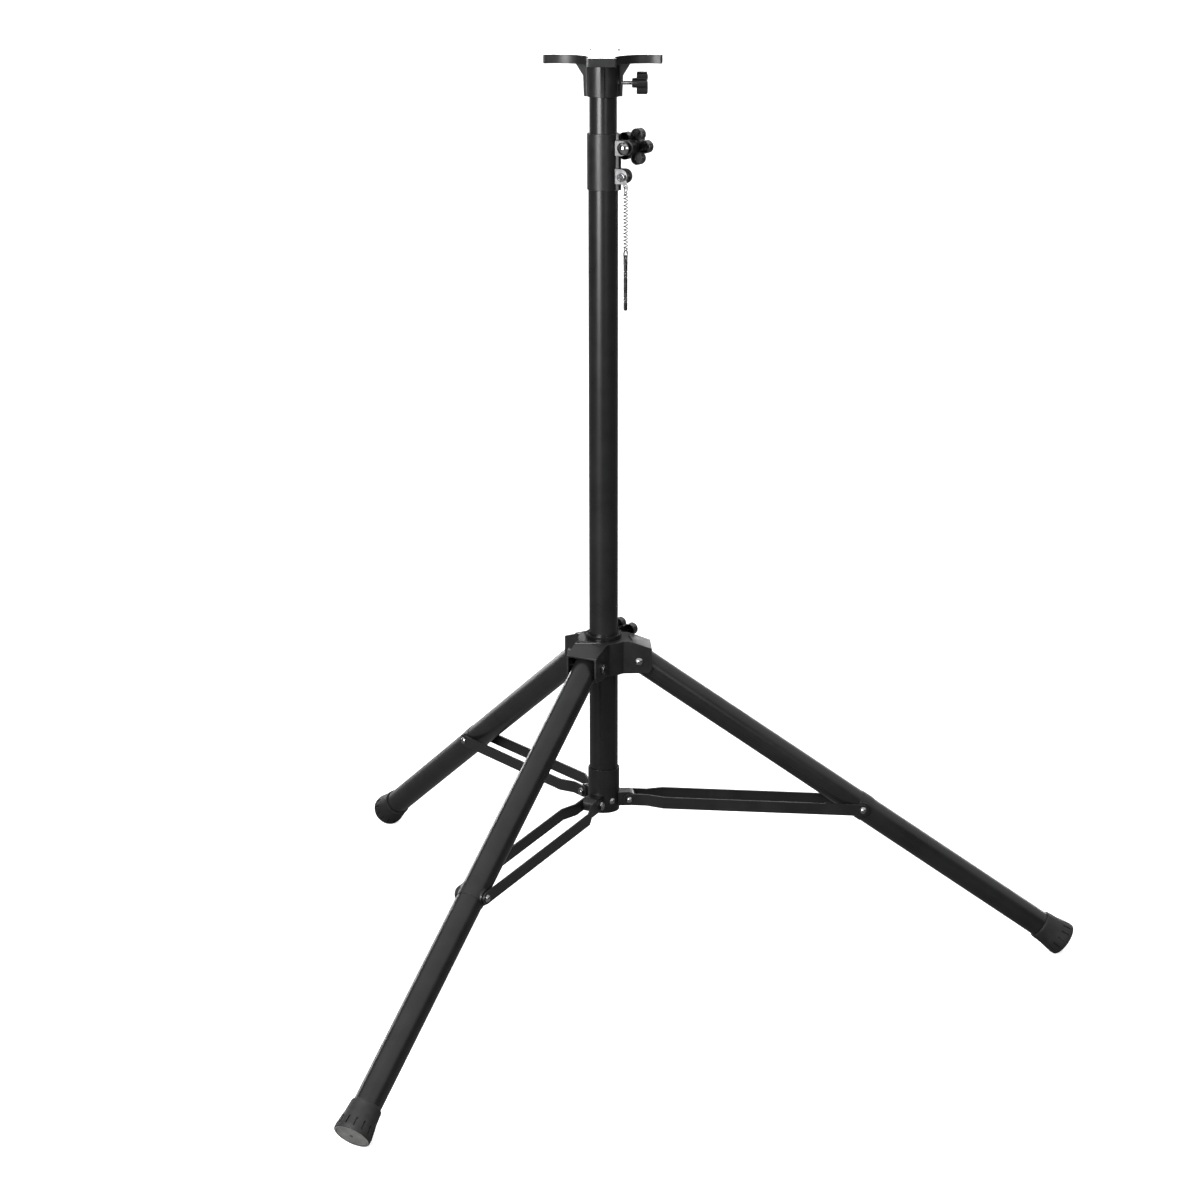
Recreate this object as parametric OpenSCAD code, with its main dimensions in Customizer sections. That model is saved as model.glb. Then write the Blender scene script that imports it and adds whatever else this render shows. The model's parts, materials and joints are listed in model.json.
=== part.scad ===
// Speaker tripod stand: sliding mast in a braced three-leg base, with a four-arm mounting plate on top.
// Millimetres. The origin is on the floor under the mast, +Z is up and leg 1 spreads along +X.

/* [Mast] */
// Outside diameter of the lower mast tube
mast_d = 38; // [36:0.5:44]
// Wall of the lower mast tube
mast_wall = 1.2; // [1:0.1:1.6]
// Height of the lower mast tube's top end above the floor
mast_top = 1102; // [900:1:1400]
// Height of the lower end of the mast above the floor
mast_foot = 221; // [180:1:260]
// Outside diameter of the sliding pole
pole_d = 35; // [25:0.5:35]
// Wall of the sliding pole
pole_wall = 1.5; // [1:0.1:3]
// Height of the sliding pole's lower end above the mast's lower end, as stored
pole_room = 111; // [80:1:300]
// How far the pole stands out of the clamp with the stand as stored
pole_out = 85; // [50:1:300]
// Diameter of the locking pin's holes through the pole
pin_hole_d = 6.4; // [5:0.1:8]
// Spacing of the locking pin's holes
pin_pitch = 60; // [40:1:80]

/* [Pole clamp] */
// Wall of the clamp's sleeve
sleeve_wall = 1.5; // [1.2:0.1:4]
// Height of the clamp's sleeve
sleeve_h = 71; // [60:1:90]
// How far the sleeve stands above the lower mast tube
sleeve_above = 25; // [15:1:40]
// Direction that the clamp's ears point in, from leg 1
clamp_angle = -30; // [-45:1:-15]
// Distance from the mast's axis to the clamp bolts
clamp_bolt_r = 32; // [30:0.5:40]
// Distance between the two clamp bolts
clamp_bolt_gap = 35.5; // [34:0.5:42]
// Thread diameter of the knob's clamp bolt
knob_bolt_d = 8; // [6:1:10]

/* [Mounting plate] */
// Span of the plate from tip to tip
plate_span = 149; // [120:1:220]
// Width of an arm at its tip
arm_w = 40; // [32:1:44]
// Depth of the plate's rim
plate_t = 11; // [6:0.5:14]
// Distance from the plate's middle to the corner between two arms
notch_r = 39.6; // [36:0.1:46]
// Diameter of the fixing holes in the arms
fix_hole_d = 8.5; // [5:0.1:11]
// Pitch circle of the fixing holes
fix_pcd = 120; // [100:1:130]
// Depth of the socket that the pole sits in
socket_h = 42; // [30:1:60]
// Wall of the socket
socket_wall = 3.2; // [2.5:0.1:5]
// Turn of the plate on the pole
plate_turn = -4; // [-10:1:10]

/* [Legs] */
// Outside diameter of a leg tube
leg_d = 35; // [30:0.5:38]
// Wall of a leg tube
leg_wall = 1.2; // [1:0.1:2.5]
// Angle of a spread leg from the vertical
leg_angle = 54.8; // [40:0.1:60]
// Distance from the mast's axis to a leg's pivot
hinge_r = 46; // [46:0.5:56]
// Height of the leg pivots with the legs spread
hinge_z = 434; // [380:1:520]
// Length of the rubber foot on the tube
foot_len = 42; // [34:1:60]
// Largest radius of the rubber foot
foot_r = 23.5; // [22:0.1:28]

/* [Braces] */
// Distance along the leg from its pivot to the brace screws
brace_at = 371.5; // [300:0.5:420]
// Width of a brace strap
strap_w = 16; // [12:0.5:20]
// Thickness of a brace strap
strap_t = 3; // [2:0.1:4]
// Distance from the mast's axis to a brace's pivot on the bottom collar
collar_hinge_r = 34; // [33:0.5:42]
// Width of a lug on the bottom collar
lug_w = 19.4; // [14:0.2:24]
// Height of the bottom collar
collar_h = 60; // [45:1:80]
// Wall of the bottom collar
collar_wall = 2; // [1.5:0.1:4]

/* [Hub] */
// Outside radius of the hub's round body
hub_r = 34; // [33:0.5:37]
// Wall of the hub's casting
hub_wall = 3.2; // [2.5:0.1:4]
// Reach of the leg housings from the mast's axis
housing_r = 63.5; // [60:0.5:72]
// Height of the hub's round body
hub_h = 45; // [42:1:60]

/* [Knobs and lanyard] */
// Diameter over the lobes of the clamp knob and the hub knob
knob_d = 48; // [40:1:60]
// Depth of the big knobs
knob_h = 12; // [9:0.5:18]
// Diameter of the thumb screw's knob
thumb_d = 30; // [22:1:36]
// Diameter of the locking pin
pin_d = 5; // [4:0.1:6]
// Length of the locking pin
pin_len = 71; // [60:1:90]
// Length of the lanyard's coil spring
coil_len = 72; // [40:1:100]
// Outside diameter of the lanyard's coil spring
coil_d = 6; // [4:0.5:8]

/* [Hidden] */
$fn = 64;
run = 0.06;
gap = 0.3;
cut = 1;
legs = [1, 2, 3];

mast_r = mast_d / 2;
mast_bore = mast_r - mast_wall;
pole_r = pole_d / 2;
pole_bore = pole_r - pole_wall;
sleeve_bore = mast_r + run;
sleeve_r = sleeve_bore + sleeve_wall;
sleeve_top = mast_top + sleeve_above;
sleeve_foot = sleeve_top - sleeve_h;
plug_flange = 3;
tube_foot = mast_foot + plug_flange;
pole_top = sleeve_top + pole_out;
pole_foot = mast_foot + pole_room;
glide_h = 8;
pin_holes = 8;
pin_hole_top = sleeve_foot - 20;

ear_tip = clamp_bolt_r + 6;
ear_r = 9.5;
split = 1;
ear_out = 6;
plate_th = 2;
face_y = ear_out + plate_th;
boss_out = 14;
bolt_drop = 17.5;
upper_z = sleeve_top - bolt_drop;
lower_z = upper_z - clamp_bolt_gap;
small_bolt_d = 6;
strip_t = 3.4;
strip_w = 8;

cap_h = 2.3;
plate_top = pole_top + cap_h + gap + plate_t;
rim_foot = plate_top - plate_t;
socket_r = pole_r + run + socket_wall;
socket_foot = rim_foot - socket_h;
rib_r = socket_r + 3.5;
rib_t = 5;
skin = 4;
tip = plate_span / 2;
half_arm = arm_w / 2;
notch = notch_r / sqrt(2);
arc_c = (pow(tip, 2) + pow(half_arm, 2) - 2 * pow(notch, 2)) / (2 * (tip + half_arm - 2 * notch));
arc_r = sqrt(2) * (arc_c - notch);
thumb_z = socket_foot + 0.4 * socket_h;
thumb_screw_d = 5;
thumb_at = rib_r + 12;
thumb_h = 20;

leg_r = leg_d / 2;
leg_end = 9;
foot_edge = 2;
foot_drop = (foot_r - foot_edge) * sin(leg_angle);
leg_reach = foot_edge + (hinge_z - foot_edge - foot_drop) / cos(leg_angle);
foot_sole = 6;
tube_reach = leg_reach - foot_sole;
pivot_d = 8;
cheek_in = leg_r + 1.5;
cheek_out = cheek_in + hub_wall + 0.2;

hub_foot = hinge_z - 16;
hub_top = hub_foot + hub_h;
hub_bush_r = mast_r + run + 2.4;
barrel_r = hub_bush_r + run + 3.2;
housing_end_z = hub_top - 11;
web_t = 3.2;
boss_z = hub_top - 11;
boss_r = 9;
boss_reach = hub_r + 8;
hub_knob_at = hub_r + 14;

knob_gap = 6;
knob_neck_r = 8;
knob_neck_h = knob_gap - 0.4;
knob_bore_h = knob_h + 5;
knob_cap_r = 8;
knob_cap_h = 2;
knob_floor = 3;
lobe_wall = 1.6;
lobes = 5;
lobe_share = 0.175;
hub_knob_turn = 18;
insert_wall = 1.94;

strap_in = leg_r + 1.1;
bracket_out = strap_in - gap;
strap_far = strap_in + strap_t;
strap_near = lug_w / 2 + 0.2;
brace_r = hinge_r + brace_at * sin(leg_angle);
brace_z = hinge_z - brace_at * cos(leg_angle);
lug_r = 9.5;
collar_bore = mast_r + run;
collar_r = collar_bore + collar_wall;
collar_hinge_z = mast_foot + 16;
brace_len = norm([brace_r - collar_hinge_r, brace_z - collar_hinge_z]);
brace_tilt = atan2(collar_hinge_z - brace_z, brace_r - collar_hinge_r);
joggle_at = 24;
joggle_len = 22;
brace_bolt_d = 6;
head_h = 3.6;

lanyard_y = -face_y - 0.6;
lanyard_r = hub_r + pin_d / 2 + 1;
lanyard_x = sqrt(pow(lanyard_r, 2) - pow(lanyard_y, 2));
eye_z = lower_z - 11.5;
eye_t = 1.2;
wire_r = 0.7;
hook_r = 3.5;
coil_top = eye_z - 2 * hook_r - wire_r - 0.1;
coil_foot = coil_top - coil_len;
ring_r = 4.8;
ring_z = coil_foot - ring_r - wire_r - 0.1;
pin_eye_z = ring_z - ring_r;
pin_top = pin_eye_z + 3.6;

// A tube or ring between two heights.
module tube(outer, inner, low, high) {
    difference() {
        translate([0, 0, low])
            cylinder(r = outer, h = high - low);
        translate([0, 0, low - cut])
            cylinder(r = inner, h = high - low + 2 * cut);
    }
}

// A shaft along Y from y = low to y = high.
module cross(r, low, high) {
    translate([0, low, 0])
        rotate([-90, 0, 0])
            cylinder(r = r, h = high - low);
}

// A shaft along X from x = low to x = high.
module along(r, low, high) {
    translate([low, 0, 0])
        rotate([0, 90, 0])
            cylinder(r = r, h = high - low);
}

// A domed screw head on the plane z = 0, rising along +Z.
module dome(r, h) {
    ball = (r * r + h * h) / (2 * h);
    intersection() {
        translate([0, 0, h - ball])
            sphere(r = ball);
        cylinder(r = r, h = h);
    }
}

// A hexagon nut on the plane z = 0 with a plain bore.
module nut(r, h, bore) {
    difference() {
        cylinder(r = r, h = h, $fn = 6);
        translate([0, 0, -cut])
            cylinder(r = bore, h = h + 2 * cut);
    }
}

module at_leg(n) {
    rotate([0, 0, 120 * (n - 1)])
        children();
}

// Local +Z runs down the leg from its pivot, and local Y is the pivot's axis.
module in_leg(n) {
    at_leg(n)
        translate([hinge_r, 0, hinge_z])
            rotate([0, 180 - leg_angle, 0])
                children();
}

// Local +X runs along the brace from its pivot on the collar.
module in_brace(n) {
    at_leg(n)
        translate([collar_hinge_r, 0, collar_hinge_z])
            rotate([0, brace_tilt, 0])
                children();
}

// Local +X is the way that the ears point, and the bolts run along local Y.
module in_clamp(z) {
    rotate([0, 0, clamp_angle])
        translate([0, 0, z])
            children();
}

module outer_tube() {
    color("#1c1d1f")
        difference() {
            tube(mast_r, mast_bore, tube_foot, mast_top);
            rotate([0, 0, -60])
                translate([0, 0, collar_hinge_z])
                    along(2.5 + run, mast_bore - cut, mast_r + cut);
        }
}

module tube_end_plug() {
    color("#111111")
        difference() {
            union() {
                translate([0, 0, mast_foot])
                    cylinder(r = mast_r, h = plug_flange);
                tube(mast_bore - run, mast_bore - 4, tube_foot - 0.01, tube_foot + 26);
            }
            rotate([0, 0, -60])
                translate([0, 0, collar_hinge_z])
                    along(2.5 + run, mast_bore - 4 - cut, mast_r);
        }
}

module guide_bush() {
    color("#0e0e0f")
        difference() {
            tube(mast_r, pole_r + run, mast_top, sleeve_top);
            in_clamp(mast_top)
                translate([0, -split, -cut])
                    cube([mast_r + cut, 2 * split, sleeve_above + 2 * cut]);
        }
}

// Outline of an ear: straight sides and a round tip, in the plane of local X and Z.
module ear(low, high) {
    translate([0, low, 0])
        rotate([90, 0, 180])
            mirror([1, 0, 0])
                linear_extrude(height = high - low)
                    union() {
                        translate([sleeve_bore, -ear_r])
                            square([ear_tip - ear_r - sleeve_bore, 2 * ear_r]);
                        translate([ear_tip - ear_r, 0])
                            circle(r = ear_r);
                    }
}

module clamp_sleeve() {
    color("#141415")
        difference() {
            union() {
                tube(sleeve_r, sleeve_bore, sleeve_foot, sleeve_top);
                in_clamp(sleeve_foot)
                    translate([sleeve_bore - 1, -strip_w / 2, 0])
                        cube([sleeve_wall + strip_t + 1, strip_w, sleeve_h]);
                for (z = [upper_z, lower_z])
                    in_clamp(z)
                        ear(-ear_out, face_y);
                in_clamp(upper_z)
                    translate([clamp_bolt_r, 0, 0])
                        cross(ear_r, split, boss_out);
            }
            translate([0, 0, sleeve_foot - cut])
                cylinder(r = sleeve_bore, h = sleeve_h + 2 * cut);
            in_clamp(sleeve_foot - cut)
                translate([mast_r - 4, -split, 0])
                    cube([ear_tip, 2 * split, sleeve_h + 2 * cut]);
            in_clamp(upper_z)
                translate([clamp_bolt_r, 0, 0])
                    cross(knob_bolt_d / 2 + run, -face_y - cut, boss_out + cut);
            in_clamp(lower_z)
                translate([clamp_bolt_r, 0, 0])
                    cross(small_bolt_d / 2 + run, -face_y - cut, boss_out + cut);
        }
}

module clamp_plates() {
    color("#c9cacc")
        difference() {
            for (z = [upper_z, lower_z])
                in_clamp(z)
                    ear(-face_y, -ear_out);
            translate([0, 0, sleeve_foot - cut])
                cylinder(r = sleeve_r + 2, h = sleeve_h + 2 * cut);
            in_clamp(upper_z)
                translate([clamp_bolt_r, 0, 0])
                    cross(knob_bolt_d / 2 + run, -face_y - cut, -ear_out + cut);
            in_clamp(lower_z)
                translate([clamp_bolt_r, 0, 0])
                    cross(small_bolt_d / 2 + run, -face_y - cut, -ear_out + cut);
        }
}

module knob_bolt() {
    color("#cfd0d2")
        in_clamp(upper_z)
            translate([clamp_bolt_r, 0, 0]) {
                cross(knob_bolt_d / 2, -face_y - 0.01, boss_out + knob_gap + 10);
                translate([0, -face_y, 0])
                    rotate([90, 0, 0])
                        dome(knob_bolt_d, 4);
            }
}

module lower_clamp_bolt() {
    color("#cfd0d2")
        in_clamp(lower_z)
            translate([clamp_bolt_r, 0, 0]) {
                cross(small_bolt_d / 2, -face_y - eye_t - 6, face_y + 0.01);
                translate([0, face_y, 0])
                    rotate([-90, 0, 0])
                        dome(5.5, 3.4);
            }
}

module lower_clamp_nut() {
    color("#cfd0d2")
        in_clamp(lower_z)
            translate([clamp_bolt_r, -face_y - eye_t, 0])
                rotate([90, 0, 0])
                    nut(5.6, 5, small_bolt_d / 2 + run);
}

// Thin tab under the lower nut, with the eye that the lanyard hangs from.
module lanyard_eyelet() {
    reach = [lanyard_x - clamp_bolt_r, eye_z - lower_z];
    color("#bdbec0")
        in_clamp(lower_z)
            translate([clamp_bolt_r, -face_y, 0])
                rotate([90, 0, 0])
                    linear_extrude(height = eye_t)
                        difference() {
                            union() {
                                circle(r = 6.5);
                                rotate(atan2(reach[1], reach[0]))
                                    translate([0, -3.2])
                                        square([norm(reach), 6.4]);
                                translate(reach)
                                    circle(r = 3.6);
                            }
                            circle(r = small_bolt_d / 2 + run);
                            translate(reach)
                                circle(r = 1.8);
                        }
}

module bottom_collar() {
    color("#17181a")
        difference() {
            union() {
                translate([0, 0, mast_foot])
                    cylinder(r = collar_r, h = collar_h);
                for (n = legs)
                    at_leg(n)
                        translate([0, 0, collar_hinge_z]) {
                            translate([mast_r, -lug_w / 2, -lug_r])
                                cube([collar_hinge_r - mast_r, lug_w, 2 * lug_r]);
                            translate([collar_hinge_r, 0, 0])
                                cross(lug_r, -lug_w / 2, lug_w / 2);
                        }
            }
            translate([0, 0, mast_foot - cut])
                cylinder(r = collar_bore, h = collar_h + 2 * cut);
            for (n = legs)
                at_leg(n)
                    translate([collar_hinge_r, 0, collar_hinge_z])
                        cross(brace_bolt_d / 2 + run, -lug_w, lug_w);
            rotate([0, 0, -60])
                translate([0, 0, collar_hinge_z])
                    along(2.5 + run, mast_r, collar_r + cut);
        }
}

module collar_screw() {
    color("#cfd0d2")
        rotate([0, 0, -60])
            translate([0, 0, collar_hinge_z]) {
                along(2.5, mast_bore - 3, collar_r + 0.3);
                translate([collar_r + 0.05, 0, 0])
                    rotate([0, 90, 0])
                        dome(4.4, 2.6);
            }
}

module collar_pivot_bolts() {
    color("#cfd0d2")
        for (n = legs)
            at_leg(n)
                translate([collar_hinge_r, 0, collar_hinge_z]) {
                    cross(brace_bolt_d / 2, -strap_near - strap_t - 0.21, strap_near + strap_t + 4.2);
                    translate([0, -strap_near - strap_t - 0.2, 0])
                        rotate([90, 0, 0])
                            dome(5, head_h);
                }
}

module collar_pivot_nuts() {
    color("#cfd0d2")
        for (n = legs)
            at_leg(n)
                translate([collar_hinge_r, strap_near + strap_t + 0.2, collar_hinge_z])
                    rotate([-90, 0, 0])
                        nut(5.6, 3.8, brace_bolt_d / 2 + run);
}

module pole() {
    color("#1c1d1f")
        difference() {
            tube(pole_r, pole_bore, pole_foot, pole_top);
            for (i = [0 : pin_holes - 1])
                translate([0, 0, pin_hole_top - i * pin_pitch])
                    cross(pin_hole_d / 2, -pole_r - cut, pole_r + cut);
        }
}

module pole_glide() {
    color("#0e0e0f") {
        tube(pole_bore - run, pole_bore - 3, pole_foot - 0.01, pole_foot + 30);
        tube(mast_bore - run, pole_bore - 3, pole_foot - glide_h, pole_foot);
    }
}

module pole_cap() {
    color("#111111")
        union() {
            translate([0, 0, pole_top - 14])
                cylinder(r = pole_bore - run, h = 14);
            translate([0, 0, pole_top])
                cylinder(r = pole_r - 0.2, h = cap_h);
        }
}

// Star outline of the plate, drawn in by the distance inset.
module star(inset) {
    difference() {
        square(plate_span - 2 * inset, center = true);
        for (a = [0 : 90 : 270])
            rotate(a)
                translate([arc_c, arc_c])
                    circle(r = arc_r + inset);
    }
}

module mounting_plate() {
    color("#232427")
        rotate([0, 0, plate_turn])
            difference() {
                union() {
                    translate([0, 0, plate_top - skin])
                        linear_extrude(height = skin)
                            star(0);
                    translate([0, 0, rim_foot])
                        linear_extrude(height = plate_t - skin + 0.01)
                            difference() {
                                star(0);
                                star(skin);
                            }
                    translate([0, 0, socket_foot])
                        cylinder(r = socket_r, h = socket_h + plate_t - 1);
                    for (a = [0 : 90 : 270])
                        rotate([90, 0, a])
                            translate([0, 0, -rib_t / 2])
                                linear_extrude(height = rib_t)
                                    polygon([
                                        [pole_r + 1, socket_foot],
                                        [rib_r, socket_foot],
                                        [rib_r + 1, rim_foot - 16],
                                        [rib_r + 11, rim_foot],
                                        [rib_r + 11, plate_top - 1],
                                        [pole_r + 1, plate_top - 1]]);
                }
                translate([0, 0, socket_foot - cut])
                    cylinder(r = pole_r + run, h = rim_foot - socket_foot + cut);
                for (a = [0 : 90 : 270])
                    rotate([0, 0, a])
                        translate([fix_pcd / 2, 0, rim_foot - cut])
                            cylinder(d = fix_hole_d, h = plate_t + 2 * cut);
                translate([0, 0, thumb_z])
                    along(thumb_screw_d / 2 + run, pole_r, rib_r + 2);
            }
}

module in_thumb() {
    rotate([0, 0, plate_turn])
        translate([0, 0, thumb_z])
            children();
}

module thumb_screw() {
    color("#cfd0d2")
        in_thumb()
            along(thumb_screw_d / 2, pole_r + gap, thumb_at + 10);
}

module thumb_knob() {
    lobe_r = thumb_d / 6.5;
    color("#0f0f10")
        in_thumb()
            difference() {
                union() {
                    along(thumb_d / 5, thumb_at, thumb_at + 6);
                    along(thumb_d / 2 - 1.4 * lobe_r, thumb_at + 5, thumb_at + thumb_h);
                    for (a = [0 : 60 : 300])
                        rotate([a, 0, 0])
                            translate([0, 0, thumb_d / 2 - lobe_r])
                                along(lobe_r, thumb_at + 6, thumb_at + thumb_h - 1);
                }
                along(thumb_screw_d / 2 + run, thumb_at - cut, thumb_at + 10);
            }
}

// A knob with lobes that are hollow at its back, which is the plane z = 0. Its neck hangs below.
module lobed_knob(bore) {
    lobe_r = lobe_share * knob_d;
    ring = knob_d / 2 - lobe_r;
    difference() {
        union() {
            linear_extrude(height = knob_h)
                union() {
                    circle(r = ring - 1);
                    for (i = [1 : lobes])
                        rotate(i * 360 / lobes)
                            translate([ring, 0])
                                circle(r = lobe_r);
                }
            translate([0, 0, -knob_neck_h])
                cylinder(r = knob_neck_r, h = knob_neck_h + 1);
            translate([0, 0, knob_h - 0.01])
                cylinder(r = knob_cap_r, h = knob_cap_h);
        }
        for (i = [1 : lobes])
            rotate(i * 360 / lobes)
                translate([ring, 0, -cut])
                    cylinder(r = lobe_r - lobe_wall, h = knob_h - knob_floor + cut);
        translate([0, 0, -knob_neck_h - cut])
            cylinder(r = bore, h = knob_bore_h + cut);
    }
}

module in_clamp_knob() {
    in_clamp(upper_z)
        translate([clamp_bolt_r, boss_out + knob_gap, 0])
            rotate([-90, 0, 0])
                children();
}

module clamp_knob() {
    color("#0f0f10")
        in_clamp_knob()
            lobed_knob(knob_bolt_d / 2 + insert_wall + run);
}

module clamp_knob_insert() {
    color("#b08d4a")
        in_clamp_knob()
            tube(knob_bolt_d / 2 + insert_wall, knob_bolt_d / 2 + run,
                -knob_neck_h, knob_bore_h - knob_neck_h - 0.4);
}

module in_hub_knob() {
    rotate([0, 0, 60])
        translate([hub_knob_at, 0, boss_z])
            rotate([0, 90, 0])
                children();
}

module hub_knob() {
    color("#0f0f10")
        in_hub_knob()
            rotate(hub_knob_turn)
                lobed_knob(knob_bolt_d / 2 + run);
}

module hub_knob_screw() {
    color("#cfd0d2")
        in_hub_knob()
            translate([0, 0, mast_r + gap - hub_knob_at])
                cylinder(d = knob_bolt_d, h = hub_knob_at - mast_r - gap + 10);
}

// Side view of a leg housing, from the round body out to its open end.
module housing_side() {
    polygon([
        [barrel_r, hub_foot],
        [housing_r - 4, hub_foot],
        [housing_r, hub_foot + 6],
        [housing_r, housing_end_z],
        [hub_r - 1, hub_top],
        [barrel_r, hub_top]]);
}

// The hollow under a housing's sloping roof.
module housing_hollow() {
    polygon([
        [barrel_r, hub_foot - 1],
        [housing_r + 1, hub_foot - 1],
        [housing_r + 1, housing_end_z - web_t - 0.4],
        [hub_r - 1, hub_top - web_t],
        [barrel_r, hub_top - web_t]]);
}

module upright(width) {
    rotate([90, 0, 0])
        translate([0, 0, -width])
            linear_extrude(height = 2 * width)
                children();
}

module hub_casting() {
    color("#1a1b1d")
        difference() {
            union() {
                translate([0, 0, hub_foot])
                    cylinder(r = hub_r, h = hub_h);
                for (n = legs)
                    at_leg(n)
                        upright(cheek_out)
                            housing_side();
                rotate([0, 0, 60])
                    translate([0, 0, boss_z])
                        along(boss_r, barrel_r, boss_reach);
            }
            difference() {
                translate([0, 0, hub_foot - cut])
                    cylinder(r = hub_r - hub_wall, h = hub_h - web_t + cut);
                translate([0, 0, hub_foot - 2 * cut])
                    cylinder(r = barrel_r, h = hub_h);
                rotate([0, 0, 60])
                    translate([0, 0, boss_z])
                        along(boss_r, barrel_r - 1, hub_r);
                for (n = legs)
                    at_leg(n)
                        upright(cheek_out)
                            housing_side();
            }
            for (n = legs)
                at_leg(n)
                    difference() {
                        upright(cheek_in)
                            housing_hollow();
                        translate([0, 0, hub_foot - 2 * cut])
                            cylinder(r = barrel_r, h = hub_h);
                    }
            translate([0, 0, hub_foot - cut])
                cylinder(r = hub_bush_r + run, h = hub_h + 2 * cut);
            for (n = legs)
                at_leg(n)
                    translate([hinge_r, 0, hinge_z])
                        cross(pivot_d / 2 + run, -cheek_out - cut, cheek_out + cut);
            rotate([0, 0, 60])
                translate([0, 0, boss_z])
                    along(knob_bolt_d / 2 + run, mast_r, boss_reach + cut);
        }
}

module hub_bush() {
    color("#2b2c2e")
        difference() {
            union() {
                tube(hub_bush_r, mast_r + run, hub_foot - 1.5, hub_top + 4);
                tube(hub_bush_r + 2.6, mast_r + run, hub_top, hub_top + 6.5);
            }
            rotate([0, 0, 60])
                translate([0, 0, boss_z])
                    along(knob_bolt_d / 2 + 0.5, mast_r - cut, hub_bush_r + cut);
        }
}

module hub_pivot_bolts() {
    color("#cfd0d2")
        for (n = legs)
            at_leg(n)
                translate([hinge_r, 0, hinge_z]) {
                    cross(pivot_d / 2, -cheek_out - 0.01, cheek_out + 3.6);
                    translate([0, -cheek_out, 0])
                        rotate([90, 0, 0])
                            dome(5.6, 3.4);
                }
}

module hub_pivot_nuts() {
    color("#cfd0d2")
        for (n = legs)
            at_leg(n)
                translate([hinge_r, cheek_out, hinge_z])
                    rotate([-90, 0, 0])
                        nut(6.4, 3.2, pivot_d / 2 + run);
}

module leg_tube(n) {
    color("#1c1d1f")
        in_leg(n)
            difference() {
                tube(leg_r, leg_r - leg_wall, -leg_end, tube_reach);
                cross(pivot_d / 2 + run, -leg_r - cut, leg_r + cut);
            }
}

module leg_plug(n) {
    color("#111111")
        in_leg(n)
            difference() {
                translate([0, 0, -leg_end])
                    cylinder(r = leg_r - leg_wall - run, h = 24);
                cross(pivot_d / 2 + run, -leg_r, leg_r);
            }
}

module leg_bracket(n) {
    color("#1a1b1d")
        in_leg(n)
            difference() {
                union() {
                    translate([0, 0, brace_at - 9])
                        cylinder(r = leg_r + 0.75, h = 18);
                    translate([0, 0, brace_at])
                        cross(10, -bracket_out, bracket_out);
                }
                translate([0, 0, brace_at - 12])
                    cylinder(r = leg_r + 0.05, h = 24);
            }
}

module foot(n) {
    grooves = 14;
    color("#151515")
        in_leg(n)
            difference() {
                rotate_extrude()
                    difference() {
                        union() {
                            polygon([
                                [0, leg_reach],
                                [0, leg_reach - foot_len],
                                [leg_r + 2, leg_reach - foot_len],
                                [leg_r + 3.2, leg_reach - 0.6 * foot_len],
                                [foot_r, leg_reach - 8],
                                [foot_r, leg_reach - foot_edge],
                                [foot_r - foot_edge, leg_reach]]);
                            translate([foot_r - foot_edge, leg_reach - foot_edge])
                                circle(r = foot_edge);
                        }
                        translate([-1, tube_reach - foot_len])
                            square([leg_r + 1.05, foot_len]);
                    }
                for (i = [0 : grooves - 1])
                    rotate([0, 0, (i + 0.5) * 360 / grooves])
                        translate([foot_r - 1.6, -0.9, leg_reach - 17])
                            cube([4, 1.8, 11]);
                translate([0, 0, leg_reach - 1.5])
                    cylinder(r = 1.6, h = 3);
            }
}

// Plan of one strap: it runs beside the lug, joggles out and then runs beside the leg.
module strap_plan() {
    polygon([
        [-strap_w / 2, strap_near],
        [joggle_at, strap_near],
        [joggle_at + joggle_len, strap_in],
        [brace_len + strap_w / 2, strap_in],
        [brace_len + strap_w / 2, strap_far],
        [joggle_at + joggle_len, strap_far],
        [joggle_at, strap_near + strap_t],
        [-strap_w / 2, strap_near + strap_t]]);
}

module strap() {
    difference() {
        intersection() {
            translate([0, 0, -strap_w])
                linear_extrude(height = 2 * strap_w)
                    strap_plan();
            union() {
                translate([0, 0, -strap_w / 2])
                    cube([brace_len, 2 * strap_far, strap_w]);
                cross(strap_w / 2, 0, 2 * strap_far);
                translate([brace_len, 0, 0])
                    cross(strap_w / 2, 0, 2 * strap_far);
            }
        }
        cross(brace_bolt_d / 2 + run, 0, 2 * strap_far);
        translate([brace_len, 0, 0])
            cross(brace_bolt_d / 2 + run, 0, 2 * strap_far);
    }
}

module brace_left(n) {
    color("#202124")
        in_brace(n)
            strap();
}

module brace_right(n) {
    color("#202124")
        in_brace(n)
            mirror([0, 1, 0])
                strap();
}

module brace_screws(n) {
    color("#cfd0d2")
        in_brace(n)
            for (side = [0, 1])
                mirror([0, side, 0])
                    translate([brace_len, 0, 0]) {
                        cross(brace_bolt_d / 2, strap_in, strap_far + 0.01);
                        translate([0, strap_far, 0])
                            rotate([-90, 0, 0])
                                dome(5, head_h);
                    }
}

// The lanyard hangs straight down from its eyelet.
module in_lanyard(z) {
    rotate([0, 0, clamp_angle])
        translate([lanyard_x, lanyard_y, z])
            children();
}

module wire_ring(r) {
    rotate([0, 90, 0])
        rotate_extrude()
            translate([r, 0])
                circle(r = wire_r, $fn = 24);
}

module lanyard_hook() {
    color("#b9babd")
        in_lanyard(eye_z - hook_r)
            wire_ring(hook_r);
}

module lanyard_spring() {
    color("#b9babd")
        in_lanyard(0)
            tube(coil_d / 2, coil_d / 2 - 2 * wire_r, coil_foot, coil_top);
}

module pin_ring() {
    color("#b9babd")
        in_lanyard(ring_z)
            wire_ring(ring_r);
}

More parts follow.
